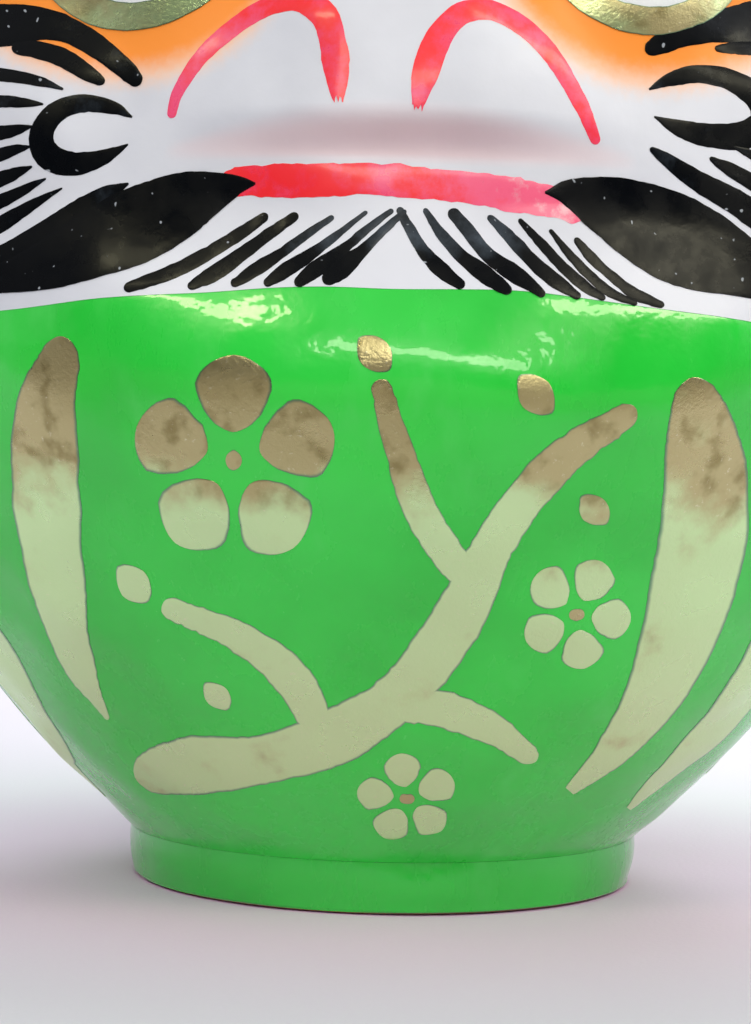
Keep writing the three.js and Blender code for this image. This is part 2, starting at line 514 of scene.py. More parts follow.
def paint(maker):
    """A maker's material, which bears its name, mixed from the set colours when it is first asked for."""
    name = maker.__name__
    return bpy.data.materials.get(name) or maker(name, bpy.context.scene.daruma_colours)


def coat_height(above=0.0):
    """How far a coat of paint stands on the paper, in millimetres, with what lies under it."""
    return bpy.context.scene.daruma_body.paint_lift / MM + above


def lacquered_glue_paint(name, colours, painted_shade_brightness=1.0):
    """Glossy colour in glue, brushed over chalk: hazy brush marks, orange peel, a hard clear shine."""
    material, tree, place = start_material(
        name, IOR=1.5, Coat_Weight=0.6, Coat_Roughness=0.04, Coat_IOR=1.5
    )
    strokes = add(tree, "Mapping", {"Vector": place, "Scale": (1.0, 1.0, 0.4)})
    patch = add(tree, "TexNoise", (place, per(48), 4.0, 0.5))
    brush = add(tree, "TexNoise", (strokes, per(11), 5.0, 0.6))
    pooled = add(tree, "MapRange", (patch, 0.35, 0.7), **SOFT)
    thin = add(tree, "MapRange", (brush, 0.56, 0.82, 0.0, 0.4), **SOFT)
    tint = add(tree, "Mix", (pooled, colours.lacquer, colours.lacquer_deep), **COLOUR)
    tint = add(tree, "Mix", (thin, tint, colours.lacquer_pale), **COLOUR)
    # Painted shade: a brightness below one multiplies the lacquer darker, as on the foot.
    painted_shade_multiplier = (painted_shade_brightness, painted_shade_brightness, painted_shade_brightness, 1.0)
    tint = add(tree, "Mix", (1.0, tint, painted_shade_multiplier), blend_type="MULTIPLY", **COLOUR)
    gloss = add(tree, "MapRange", (brush, 0.3, 0.75, 0.16, 0.36), **SOFT)
    peel = add(tree, "TexNoise", (place, per(3.6), 2.0, 0.5))
    return finish_material(material, tint, gloss, peel, 0.1, ("Normal", "Coat Normal"))


def foot_lacquer_with_painted_shade(name, colours):
    """The same lacquer on the foot, drawn darker as painted shade under the belly's overhang."""
    return lacquered_glue_paint(name, colours, painted_shade_brightness=0.72)


def gofun_chalk_ground(name, colours):
    """Crushed shell in glue, brushed on in layers: a satin, faintly uneven white with sprayed colour."""
    material, tree, place = start_material(name, IOR=1.45)
    cloud = add(tree, "TexNoise", (place, per(32), 4.0, 0.5))
    layers = add(tree, "MapRange", (cloud, 0.35, 0.7), **SOFT)
    tint = add(tree, "Mix", (layers, colours.ground, linear("#D3D5DF")), **COLOUR)
    # The spray's droplets are drawn about 2 mm wide, coarser than real ones, so that they show.
    drops = add(tree, "TexNoise", (place, per(2.0), 3.0, 0.6))
    jitter = add(tree, "MapRange", (drops, 0.2, 0.8, -0.06, 0.06))
    blush = add(tree, "Attribute", attribute_name="blush").node.outputs["Fac"]
    spray = add(tree, "Math", (blush, jitter), operation="ADD")
    mist = add(tree, "MapRange", (spray, 0.04, 0.5), **SOFT)
    full = add(tree, "MapRange", (spray, 0.3, 0.9), **SOFT)
    tint = add(tree, "Mix", (mist, tint, colours.blush_mist), **COLOUR)
    tint = add(tree, "Mix", (full, tint, colours.blush), **COLOUR)
    # Painted shade under the nose: the shade attribute mixes in a pinkish tint.
    painted_nose_shade = add(tree, "Attribute", attribute_name="shade").node.outputs["Fac"]
    tint = add(tree, "Mix", (painted_nose_shade, tint, linear("#F7C4C4")), **COLOUR)
    gloss = add(tree, "MapRange", (cloud, 0.3, 0.7, 0.38, 0.52), **SOFT)
    waves = add(tree, "TexNoise", (place, per(5), 4.0, 0.5))
    return finish_material(material, tint, gloss, waves, 0.1)


def smooth_shell_white(name, colours):
    """A second coat of shell white inside the eye rings, cooler and smoother than the ground."""
    material, tree, place = start_material(name, IOR=1.48, Coat_Weight=0.2, Coat_Roughness=0.2)
    cloud = add(tree, "TexNoise", (place, per(12), 3.0, 0.5))
    layers = add(tree, "MapRange", (cloud, 0.35, 0.7), **SOFT)
    tint = add(tree, "Mix", (layers, colours.eye_white, linear("#E2E7EA")), **COLOUR)
    gloss = add(tree, "MapRange", (cloud, 0.3, 0.7, 0.3, 0.42), **SOFT)
    return finish_material(material, tint, gloss, cloud, 0.3)


def paint_density(tree, marks):
    """How thick a stroke's paint lies: the brush's load, with flow marks from a noise and its range."""
    flow_marks = add(tree, "MapRange", marks)
    load = add(tree, "Attribute", attribute_name="load").node.outputs["Fac"]
    return add(tree, "Math", (load, flow_marks), operation="ADD")


def glossy_soot_ink(name, colours):
    """Soot in glue: dense glossy black where the brush was full, a watery blue-grey where it ran thin,
    which also serves as painted sheen.
    """
    material, tree, place = start_material(
        name, IOR=1.5, Specular_IOR_Level=0.11, Coat_Weight=0.03, Coat_Roughness=0.1
    )
    cloud = add(tree, "TexNoise", (place, per(8), 5.0, 0.6))
    density = paint_density(tree, (cloud, 0.2, 0.8, -0.3, 0.3))
    cover = add(tree, "MapRange", (density, 0.15, 0.85), **SOFT)
    tint = add(tree, "Mix", (cover, colours.ink_watery_and_painted_sheen, colours.ink), **COLOUR)
    dust = add(tree, "TexNoise", (place, per(1.5), 0.0, 0.5))
    specks = add(tree, "MapRange", (dust, 0.8, 0.84), **SOFT)
    tint = add(tree, "Mix", (specks, tint, linear("#9AA0A8")), **COLOUR)
    gloss = add(tree, "MapRange", (cloud, 0.3, 0.75, 0.2, 0.45), **SOFT)
    return finish_material(material, tint, gloss, cloud, 0.12)


def thin_red_paint(name, colours):
    """Red lake in thin glue: the white ground shows through as pink where the brush was nearly empty."""
    material, tree, place = start_material(name, IOR=1.48, Coat_Weight=0.3, Coat_Roughness=0.12)
    cloud = add(tree, "TexNoise", (place, per(7), 6.0, 0.65))
    density = paint_density(tree, (cloud, 0.25, 0.75, -0.45, 0.45))
    cover = add(tree, "MapRange", (density, 0.4, 1.0), **SOFT)
    bare = add(tree, "MapRange", (density, 0.3, 0.02), **SOFT)
    tint = add(tree, "Mix", (cover, colours.red_thin, colours.red), **COLOUR)
    tint = add(tree, "Mix", (bare, tint, linear("#EFA9B6")), **COLOUR)
    gloss = add(tree, "MapRange", (cloud, 0.3, 0.7, 0.25, 0.45), **SOFT)
    return finish_material(material, tint, gloss, cloud, 0.1)


def bronze_powder_paint(name, colours):
    """Bronze powder in glue: a soft metal sheen, powder grain, and a dull rim where it ran out."""
    material, tree, place = start_material(name, Metallic=0.9)
    cloud = add(tree, "TexNoise", (place, per(17), 5.0, 0.55))
    powder = add(tree, "TexNoise", (place, per(0.9), 2.0, 0.7))
    load = add(tree, "Attribute", attribute_name="load").node.outputs["Fac"]
    # The load, high towards the top of the belly, adds painted reflection: there the gold is drawn brown
    # and pooled dark, besides where the powder lies thick at random.
    laid = add(tree, "MapRange", (load, 0.0, 1.0, -0.2, 0.28))
    depth = add(tree, "Math", (cloud, laid), operation="ADD")
    thick = add(tree, "MapRange", (depth, 0.36, 0.68), **SOFT)
    pressed = add(tree, "TexNoise", (place, per(6), 3.0, 0.5))
    pools = add(tree, "MapRange", (pressed, 0.5, 0.72, 0.0, 0.6), **SOFT)
    pools = add(tree, "Math", (pools, thick), operation="MULTIPLY")
    glint = add(tree, "MapRange", (powder, 0.62, 0.8, 0.0, 0.5), **SOFT)
    tint = add(tree, "Mix", (thick, colours.gold, colours.gold_thick_and_painted_reflection), **COLOUR)
    tint = add(tree, "Mix", (pools, tint, linear("#7E6E3C")), **COLOUR)
    tint = add(tree, "Mix", (glint, tint, linear("#F3EFD2")), **COLOUR)
    across = add(tree, "Attribute", attribute_name="across").node.outputs["Fac"]
    edge = add(tree, "Math", (across,), operation="ABSOLUTE")
    rim = add(tree, "MapRange", (edge, 0.9, 0.99, 0.0, 0.85), **SOFT)
    tint = add(tree, "Mix", (rim, tint, linear("#5E8C74")), **COLOUR)
    gloss = add(tree, "MapRange", (cloud, 0.3, 0.75, 0.24, 0.42), **SOFT)
    lumps = add(tree, "Mix", (0.25, cloud, powder))
    return finish_material(material, tint, gloss, lumps, 0.35)


def raw_pulp_board(name, colours):
    """Grey-brown pulp board: matt, with fibres and darker flecks."""
    material, tree, place = start_material(name, IOR=1.45)
    fibre = add(tree, "TexNoise", (place, per(1.6), 6.0, 0.7))
    cloud = add(tree, "TexNoise", (place, per(18), 3.0, 0.5))
    tint = add(tree, "Mix", (cloud, colours.board, linear("#7A5140")), **COLOUR)
    pale = add(tree, "MapRange", (fibre, 0.55, 0.75, 0.0, 0.5), **SOFT)
    tint = add(tree, "Mix", (pale, tint, linear("#B08A6C")), **COLOUR)
    gloss = add(tree, "MapRange", (fibre, 0.3, 0.7, 0.8, 0.95))
    return finish_material(material, tint, gloss, fibre, 0.2)


def air_dried_clay(name, colours):
    """Air-dried clay, pressed in by hand: matt, lumpy and pitted."""
    material, tree, place = start_material(name, IOR=1.45)
    lump = add(tree, "TexNoise", (place, per(12), 5.0, 0.6))
    pit = add(tree, "TexNoise", (place, per(2), 4.0, 0.5))
    tint = add(tree, "Mix", (lump, colours.clay, linear("#6E5F4E")), **COLOUR)
    gloss = add(tree, "MapRange", (pit, 0.3, 0.7, 0.85, 0.97))
    rough = add(tree, "Mix", (0.3, lump, pit))
    return finish_material(material, tint, gloss, rough, 0.9)


def table_sheet(name, stage):
    """A pale sheet: painted shade darkens it towards the front, painted light keeps it pale close to the
    doll, and a painted rosy tint, against the doll's green bounce light, lies where the doll stands.
    """
    material, tree, place = start_material(name, IOR=1.45, Roughness=0.7)
    depth = add(tree, "SeparateXYZ", (place,)).node.outputs["Y"]
    # Painted shade: the sheet darkens towards the front.
    fade = add(tree, "MapRange", (depth, 0.3, -0.17, 0.0, 0.52), **SOFT)
    # Painted shade: in front of the doll the sheet takes the shade colour.
    front = add(tree, "MapRange", (depth, stage.shade_start, stage.shade_start - 0.16), **SOFT)
    away = add(tree, "VectorMath", (place,), operation="LENGTH")
    # Painted light near the doll: the darkening is left out there, and a painted rosy tint, against the
    # doll's green bounce light, is multiplied in.
    near = add(tree, "MapRange", (away, 0.06, 0.2, 1.0, 0.0), **SOFT)
    far = add(tree, "MapRange", (away, 0.06, 0.17), **SOFT)
    fade = add(tree, "Math", (fade, far), operation="MULTIPLY")
    fibre = add(tree, "TexNoise", (place, per(1.4), 3.0, 0.5))
    tint = add(tree, "Mix", (fade, stage.sheet, linear("#B4B2C0")), **COLOUR)
    rosy = add(tree, "Mix", (near, tint, linear("#FFDEFC")), blend_type="MULTIPLY", **COLOUR)
    tint = add(tree, "Mix", (front, rosy, stage.table), **COLOUR)
    return finish_material(material, tint, None, fibre, 0.1)


# ---- Settings ----


def colour_setting(name, description, code):
    """A colour that the user can change, from its sRGB hex code."""
    return FloatVectorProperty(
        name=name, description=description, subtype="COLOR", size=4, min=0, max=1, default=linear(code)
    )


def length_setting(name, description, default, least=-5.0, most=5.0):
    """A length in metres that the user can change."""
    return FloatProperty(
        name=name, description=description, default=default, min=least, max=most, unit="LENGTH"
    )


class DarumaColours(bpy.types.PropertyGroup):
    lacquer: colour_setting("Lacquer", "Main colour of the robe", "#2BD842")
    lacquer_deep: colour_setting("Lacquer, pooled", "Where the lacquer lies thick", "#1CC534")
    lacquer_pale: colour_setting("Lacquer, thin", "Where the brush left it thin", "#58DE66")
    gold: colour_setting("Gold", "Bronze powder paint", "#D6F0B4")
    # The brown of thick powder, also used as painted reflection near the top of the belly.
    gold_thick_and_painted_reflection: colour_setting("Gold, thick", "Bronze powder where it lies thick", "#C4B888")
    ground: colour_setting("Face white", "Chalk ground of the face", "#DEE0EA")
    blush: colour_setting("Blush", "Sprayed colour round the eyes", "#FF942E")
    blush_mist: colour_setting("Blush mist", "Outer mist of the sprayed colour", "#F7CDB4")
    red: colour_setting("Red", "Mouth and nose paint", "#FA1F2A")
    red_thin: colour_setting("Red, thin", "Mouth and nose paint where it is thin", "#F4507E")
    eye_white: colour_setting("Eye white", "Second coat of white on the eyes", "#EEF1F2")
    board: colour_setting("Board", "Pulp board of the underside", "#8F5E48")
    clay: colour_setting("Clay", "The weight inside", "#8F7C66")
    ink: colour_setting("Ink", "Brows, moustache and beard", "#04060A")
    # Also painted sheen: the blue-grey patches in the black stand for gloss reflections.
    ink_watery_and_painted_sheen: colour_setting("Ink, thin", "Ink where it ran watery", "#58626D")


class DarumaBody(bpy.types.PropertyGroup):
    around: IntProperty(name="Facets", description="Steps round the body", default=288, min=48, max=400)
    rings: IntProperty(name="Rings", description="Rings of the outer wall", default=165, min=40, max=240)
    paint_lift: length_setting("Paint lift", "Height of a coat over the paper", 0.12 * MM, 0.02 * MM, MM)
    eye_radius: length_setting("Eye ring radius", "Middle of each gold ring", 21 * MM, 10 * MM, 26 * MM)
    ring_width: length_setting("Eye ring width", "Width of each gold ring", 5.6 * MM, MM, 10 * MM)


class DarumaStage(bpy.types.PropertyGroup):
    sheet: colour_setting("Sheet", "Colour of the pale sheet", "#F6F1F9")
    # Painted shade: the colour the sheet is drawn in at the front.
    table: colour_setting("Shade", "Colour of the sheet in the shade at the front", "#98908A")
    shade_start: length_setting("Shade start", "Where the shade begins in front of the doll", -0.19)
    camera_distance: length_setting("Camera distance", "From the lens to the doll's axis", 0.546)
    camera_height: length_setting("Camera height", "Height of the lens above the table", 0.0888)
    camera_side: length_setting("Camera side", "How far the lens stands to the right", -0.0035)
    camera_roll: FloatProperty(
        name="Camera roll",
        description="Tilt of the camera about its line of sight",
        default=math.radians(-1.3),
        unit="ROTATION",
    )
    lens: FloatProperty(name="Lens", description="Focal length in mm", default=77.4, min=20, max=200)


class Maker:
    """What the operators share."""

    bl_options = {"REGISTER", "UNDO"}


# ---- Body ----


def offset_outline(rings, distance):
    """The body's outline from the seam to the crown, moved outwards by a distance."""
    low = rings * 2 // 5
    belly = np.linspace(SEAM, GIRTH_HEIGHT, low, endpoint=False)
    turn = np.linspace(0, math.pi / 2, rings - low)
    rise = (CROWN - GIRTH_HEIGHT) * np.sin(turn) ** (2 / CROWN_POWER)
    crown_radius = GIRTH_RADIUS * np.clip(np.cos(turn), 0, 1) ** (2 / CROWN_POWER)
    radius = np.concatenate([outline_radius(belly), crown_radius])
    height = np.concatenate([belly, GIRTH_HEIGHT + rise])
    slope = np.stack([np.gradient(radius), np.gradient(height)], -1)
    slope /= np.linalg.norm(slope, axis=1, keepdims=True)
    moved = np.stack([radius + slope[:, 1] * distance, height - slope[:, 0] * distance], -1)
    moved[-1] = (0, CROWN + distance)
    return [tuple(point) for point in moved]


def ground_reach(x, low):
    """How far the white ground reaches up, or down if low is true: its lower edge droops to the sides."""
    return np.where(low, GROUND_DROP * (1 + GROUND_DROOP * (x / GROUND_HALF_WIDTH) ** 2), GROUND_RISE)


def ground_outness(x, z):
    """Nought in the middle of the white ground, one at its edge."""
    low = z < FACE_HEIGHT
    squareness = np.where(low, GROUND_SQUARENESS, BROW_SQUARENESS)
    up = np.abs(z - FACE_HEIGHT) / ground_reach(x, low)
    return (np.abs(x / GROUND_HALF_WIDTH) ** squareness + up**squareness) ** (1 / squareness)


class DARUMA_OT_shell(Maker, bpy.types.Operator):
    """Spin the hollow paper body, press the face in and ripple the paper"""

    bl_idname = "daruma.shell"
    bl_label = "Paper Shell"

    def execute(self, context):
        body = context.scene.daruma_body
        outer = offset_outline(body.rings, 0.0)
        inner = offset_outline(body.rings // 4, -SHELL_WALL)
        opening = (FOOT_RADIUS - RIM_LAND, SEAM)
        shell = spun("paper_shell_skin", [*outer, *reversed(inner), opening], body.around)
        places = read_places(shell) / MM
        radius = np.hypot(places[:, 0], places[:, 1])
        angle = np.arctan2(places[:, 0], -places[:, 1])
        outside = (radius > outline_radius(places[:, 2]) - 0.2) & (places[:, 2] < CROWN - 0.5)
        shaped = places.copy()
        shaped[:, 1] = flattened(places[:, 1], places[:, 2])
        hollow = face_hollow(places[:, 0], places[:, 2])
        shaped[:, 1] += smooth(-shaped[:, 1], 0, SIDE_FADE) * hollow
        # Under the white ground the paper lies a little lower, so that it never shows through.
        covered = 1 - smooth(ground_outness(places[:, 0], places[:, 2]), 0.95, 0.985)
        sunk = -UNDER_GROUND * covered * (places[:, 1] < 0)
        shaped[outside] = skin_place(angle[outside], places[outside, 2], sunk[outside])
        write_places(shell, shaped * MM)
        smooth_faces(shell)
        settle(shell, lacquered_glue_paint, ["paper_shell"])
        return {"FINISHED"}


class DARUMA_OT_seam_strip(Maker, bpy.types.Operator):
    """Lay the torn paper strip over the slit up the back, under the lacquer"""

    bl_idname = "daruma.seam_strip"
    bl_label = "Seam Strip"

    def execute(self, context):
        half = (STRIP_HIGH.x - STRIP_LOW.x) / 2
        levels = np.linspace(STRIP_LOW.z, STRIP_HIGH.z, 9)
        route = [(180.0, level, half) for level in levels]
        strip = stroke(route, 0.15, seed=5, around=True, rough=0.5)
        piece = brushwork("seam_strip_skin", [strip], lacquered_glue_paint)
        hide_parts("seam_strip")
        return {"FINISHED"}


def foot_section():
    """The foot's half section: a low, softly bulging wall up to the shell."""
    top = SEAM - 0.05
    collar = FOOT_RADIUS - RIM_LAND - 0.3
    bore = collar - 6.0
    low = BASE_HIGH.z - 0.75
    wall = FOOT_RADIUS - 0.9
    corner = 0.7
    card = BASE_HIGH.x + 0.15
    points = [(bore, FOOT_LOW.z), (card, FOOT_LOW.z), (card, low)]
    for turn in np.radians(np.linspace(-60, 0, 6)):
        points.append((wall - corner + corner * math.cos(turn), low + corner + corner * math.sin(turn)))
    for share in np.linspace(0.12, 1, 12):
        height = low + corner + (top - low - corner) * share
        points.append((wall + 0.9 * share + 0.5 * math.sin(math.pi * share), height))
    points += [(collar, top), (collar, FOOT_HIGH.z), (bore, FOOT_HIGH.z)]
    return points


class DARUMA_OT_foot(Maker, bpy.types.Operator):
    """Spin the foot ring, whose paint laps over the card's edge and flares into the shell"""

    bl_idname = "daruma.foot"
    bl_label = "Foot Ring"

    def execute(self, context):
        foot = spun("foot_ring_skin", foot_section(), 192)
        places = read_places(foot) / MM
        radius = np.hypot(places[:, 0], places[:, 1])
        painted = smooth(radius, FOOT_RADIUS - 1.35, FOOT_RADIUS - 1.1)
        places[:, :2] *= (1 + 0.7 * ripple(places) * painted / radius)[:, None]
        write_places(foot, places * MM)
        smooth_faces(foot, 50)
        settle(foot, foot_lacquer_with_painted_shade, ["foot_ring"])
        return {"FINISHED"}


class DARUMA_OT_underside(Maker, bpy.types.Operator):
    """Turn the worn card disc and give the hidden clay its surface"""

    bl_idname = "daruma.underside"
    bl_label = "Underside"

    def execute(self, context):
        radius, top = BASE_HIGH.x, BASE_HIGH.z
        section = [(0, 0), (radius - 1.2, 0), (radius - 0.5, 0.12), (radius - 0.1, 0.45)]
        section += [(radius, 0.8), (radius - 0.1, top), (0, top)]
        disc = spun("base_disc_card", section, 192)
        smooth_faces(disc, 50)
        settle(disc, raw_pulp_board, ["base_disc"])
        coat(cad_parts["clay_weight"], air_dried_clay)
        return {"FINISHED"}


# ---- Face ----


def half_full(share, height):
    """Gold laid on evenly, neither thick nor thin."""
    return np.full_like(height, 0.5)


EYES = [(-51.3, 207.5), (49.8, 208.5)]


class DARUMA_OT_face_ground(Maker, bpy.types.Operator):
    """Lay the white ground of the face with its sprayed blush"""

    bl_idname = "daruma.face_ground"
    bl_label = "Face Ground"

    def execute(self, context):
        ground = start_grid(190, 130)
        flat = read_places(ground)
        over, up = flat[:, 0], flat[:, 1]
        reach = np.maximum(np.maximum(np.abs(over), np.abs(up)), 1e-9)
        square = np.where(up < 0, GROUND_SQUARENESS, BROW_SQUARENESS)
        round_off = (np.abs(over / reach) ** square + np.abs(up / reach) ** square) ** (-1 / square)
        turn = np.arctan2(up, over)
        edge = 1 + (0.0025 * np.sin(7 * turn + 1) + 0.0018 * np.sin(19 * turn)) * reach**6
        x = GROUND_HALF_WIDTH * over * round_off * edge
        z = FACE_HEIGHT + ground_reach(x, up < 0) * up * round_off * edge
        write_places(ground, skin_place(front_angle(x, z), z, coat_height()) * MM)
        blush = np.zeros_like(x)
        for eye_x, eye_z in EYES:
            over = x - eye_x - PAINT_MIDDLE
            outer = np.where(over * np.sign(eye_x) > 0, 0.78, 1.0)
            away = np.hypot(over * outer, z - eye_z)
            blush = np.maximum(blush, 1 - smooth(away, BLUSH_INNER, BLUSH_OUTER))
        write_attribute(ground, "blush", blush)
        # Painted shade: a lens of pinkish tint lies in the hollow under the nose.
        lens = np.clip(1 - (x / SHADE_HALF_WIDTH) ** 2, 0, 1)
        above = smooth(z, SHADE_HIGH + 4 * lens, SHADE_HIGH + 2 + 8 * lens)
        under = smooth(z, SHADE_LOW, SHADE_HIGH) * (1 - above) * lens**0.5
        write_attribute(ground, "shade", SHADE_STRENGTH * under)
        ground.name = "face_ground"
        thicken(ground, GROUND_DEPTH)
        smooth_faces(ground, 60)
        settle(ground, gofun_chalk_ground)
        return {"FINISHED"}


class DARUMA_OT_eyes(Maker, bpy.types.Operator):
    """Paint the blank whites and the gold rings of both eyes"""

    bl_idname = "daruma.eyes"
    bl_label = "Eyes"

    def execute(self, context):
        body = context.scene.daruma_body
        lift = coat_height()
        middle = body.eye_radius / MM
        half = body.ring_width / MM / 2
        whites, rings = [], []
        for number, (eye_x, eye_z) in enumerate(EYES):
            disc = start_grid(40, 40)
            flat = read_places(disc)
            reach = np.maximum(np.abs(flat[:, 0]), np.abs(flat[:, 1]))
            spoke = flat[:, :2] / np.maximum(np.linalg.norm(flat[:, :2], axis=1), 1e-9)[:, None]
            x = PAINT_MIDDLE + eye_x + spoke[:, 0] * reach * (middle - 1)
            z = eye_z + spoke[:, 1] * reach * (middle - 1)
            write_places(disc, skin_place(front_angle(x, z), z, lift + OVERLAP) * MM)
            whites.append(disc)
            route = [
                (eye_x + middle * math.cos(turn), eye_z + middle * math.sin(turn), half)
                for turn in np.radians(np.linspace(100, 466, 17))
            ]
            rings.append(stroke(route, lift + 2 * OVERLAP, 60 + number, ("round", "dry"), load=half_full))
        white = join("eye_whites", whites)
        thicken(white, EYE_WHITE_DEPTH)
        smooth_faces(white, 60)
        settle(white, smooth_shell_white)
        brushwork("eye_rings", rings, bronze_powder_paint)
        return {"FINISHED"}


NOSE_LEFT = [
    (-43, 165.5, 0.9), (-41.5, 171, 1.2), (-37, 178, 1.6), (-31, 183.5, 1.9), (-25, 187, 2.1),
    (-18.5, 188, 2.4), (-13.5, 185, 2.6), (-11.5, 180, 2.5), (-10.5, 174, 2.5), (-10, 167, 0.9),
]
NOSE_RIGHT = [
    (40.5, 162, 1.0), (37.5, 168.5, 1.5), (34, 174.5, 1.8), (29.5, 180.5, 1.9), (24, 185, 2.0),
    (18.5, 187, 2.1), (13, 185.5, 2.3), (9, 180.5, 2.5), (6.5, 173, 2.5), (5, 166, 0.9),
]
MOUTH = [
    (-33, 152.5, 2.4), (-27, 153, 3.1), (-17, 153, 3.3), (-2, 153.5, 3.1), (14, 152.5, 3.1),
    (30, 150.5, 3.2), (39, 148, 2.7),
]


class DARUMA_OT_red_marks(Maker, bpy.types.Operator):
    """Paint the mouth and the two arcs of the nose in thin red"""

    bl_idname = "daruma.red_marks"
    bl_label = "Nose and Mouth"

    def execute(self, context):
        lift = coat_height(ON_GROUND)
        arcs = [
            stroke(route, lift, seed, ("round", "dry"), dry=0.7, load=growing(start, 0.85, 0.3, 0.7))
            for seed, route, start in ((21, NOSE_LEFT, 0.65), (22, NOSE_RIGHT, 0.6))
        ]
        brushwork("nose_arcs", arcs, thin_red_paint)
        lips = stroke(MOUTH, lift, 23, rough=0.3, load=growing(1.05, 0.4, 0.1, 0.85))
        brushwork("mouth_paint", [lips], thin_red_paint)
        return {"FINISHED"}


MOUSTACHE_LEFT = [
    (-26, 152.5, 0.2), (-30.5, 152, 2.4), (-38, 149.5, 5.7), (-47, 145, 7.6), (-57, 140.5, 7.3),
    (-67, 136.5, 5.3), (-77, 134, 3.1), (-88, 132.5, 1.7), (-98, 133, 0.3),
]
MOUSTACHE_RIGHT = [
    (30.5, 152, 0.2), (35.5, 152, 2.9), (44, 149.5, 6.6), (54, 145.5, 9.0), (63, 142, 8.6),
    (72, 138.5, 6.0), (82, 135, 3.6), (92, 133, 1.9), (101, 133.5, 0.3),
]
# Whiskers of the chin, each from its thin upper end.
CHIN = [
    [(-23.5, 146.5, 1.0), (-29, 142.5, 1.3), (-35, 138.5, 1.4), (-42, 134.5, 1.5), (-51, 131, 1.0)],
    [(-17.5, 146.5, 0.9), (-23, 142.5, 1.2), (-28, 138.5, 1.5), (-33.5, 134.5, 1.7), (-38.5, 131.5, 0.8)],
    [(-10.5, 146, 0.5), (-15.5, 142.5, 0.9), (-20.5, 138.5, 1.1), (-25.5, 135, 1.4), (-30, 132, 0.8)],
    [(-4, 147, 0.4), (-9.5, 142.5, 0.7), (-14.5, 138.5, 1.2), (-19.5, 135, 1.5), (-23.5, 132, 0.8)],
    [(1, 147.5, 0.5), (-4.5, 143, 0.8), (-9, 139, 1.1), (-13.5, 135.5, 1.7), (-17.5, 132, 0.9)],
    [(3.5, 147.5, 0.5), (-1, 143, 0.9), (-5, 139, 1.2), (-9, 135.5, 2.1), (-12, 132.5, 1.1)],
    [(2, 148, 0.7), (4.5, 143.5, 1.1), (7, 139.5, 1.2), (11, 135.5, 1.5), (15, 132.5, 0.8)],
    [(7, 148, 0.5), (10, 143.5, 1.0), (14, 139, 1.3), (19, 135, 1.8), (24, 131.5, 0.9)],
    [(12, 148, 1.1), (15.5, 144, 1.4), (19.5, 139, 1.5), (25, 135, 1.7), (30.5, 131, 0.7)],
    [(19.5, 147, 0.7), (23.5, 143, 1.3), (27.5, 138.5, 1.4), (32, 134.5, 1.6), (37.5, 131, 0.7)],
    [(25.5, 146.5, 0.5), (29.5, 142, 1.0), (33, 138, 1.1), (37.5, 134, 1.2), (42.5, 131, 0.6)],
    [(31.5, 144.5, 0.4), (35, 140, 0.9), (39, 136, 1.0), (43.5, 132.5, 1.0), (49, 130.5, 0.5)],
    [(36.5, 143, 0.6), (39.5, 139.5, 1.1), (43, 136.5, 1.0), (48.5, 132.5, 1.2), (54.5, 130.5, 0.7)],
]
# The middle ones start watery, in blue-grey that is partly painted sheen.
CHIN_START = [1.05] * 2 + [0.6] * 8 + [1.05] * 3


class DARUMA_OT_moustache(Maker, bpy.types.Operator):
    """Paint the moustache's two loaded leaves and the whiskers of the chin"""

    bl_idname = "daruma.moustache"
    bl_label = "Moustache and Chin"

    def execute(self, context):
        lift = coat_height(ON_GROUND)
        leaves = [
            stroke(route, lift + OVERLAP, seed, ("sharp", "sharp"), load=growing(1.1, 0.8, start, 0.9))
            for seed, route, start in ((31, MOUSTACHE_LEFT, 0.5), (32, MOUSTACHE_RIGHT, 0.6))
        ]
        brushwork("moustache", leaves, glossy_soot_ink)
        hairs = [
            stroke(route, lift, 200 + number, load=growing(start, 1.1, 0.3, 0.8))
            for number, (route, start) in enumerate(zip(CHIN, CHIN_START))
        ]
        brushwork("chin_whiskers", hairs, glossy_soot_ink)
        return {"FINISHED"}


# Strokes of each cheek, from the thin tip near the face's middle outwards.
BEARD_LEFT = [
    [
        (-49.5, 172.5, 1.2), (-52.5, 175.5, 2.0), (-58, 180, 2.3), (-65, 184.5, 2.7), (-72, 186.5, 3.6),
        (-82, 187, 4.6), (-97, 189, 2.6),
    ],
    [(-57, 173, 0.9), (-61, 175.5, 1.7), (-66.5, 179, 1.9), (-72, 181, 1.8), (-77.5, 182, 1.4)],
    [(-65.5, 172, 0.2), (-71, 174, 1.1), (-79.5, 176, 1.5), (-90, 177.5, 1.6), (-100, 179, 0.6)],
    [(-69.5, 169, 0.2), (-74, 169.5, 1.1), (-79, 170, 1.4), (-91, 170.5, 1.5), (-103, 171.5, 0.6)],
    [(-71.5, 164.5, 0.2), (-75, 164, 1.1), (-79, 163.5, 1.4), (-92, 163, 1.5), (-104, 162, 0.6)],
    [(-72, 160.5, 0.2), (-75, 160, 1.0), (-79, 159, 1.4), (-92, 156.5, 1.5), (-104, 154, 0.6)],
    [(-71.5, 156.5, 0.2), (-74.5, 155.5, 1.0), (-79, 154, 1.5), (-92, 150, 1.5), (-103, 146, 0.6)],
    [(-68.5, 154, 0.2), (-73, 152, 1.0), (-79, 149.5, 1.5), (-91, 144.5, 1.5), (-101, 140.5, 0.6)],
    [(-65, 152, 0.2), (-71, 149, 1.1), (-78, 145, 1.7), (-89, 139.5, 1.7), (-98, 136.5, 0.6)],
    [
        (-51, 152.5, 0.2), (-55.5, 150.5, 1.7), (-61, 147.5, 2.4), (-67, 143.5, 2.7), (-77, 138, 2.7),
        (-91, 134.5, 1.0),
    ],
]
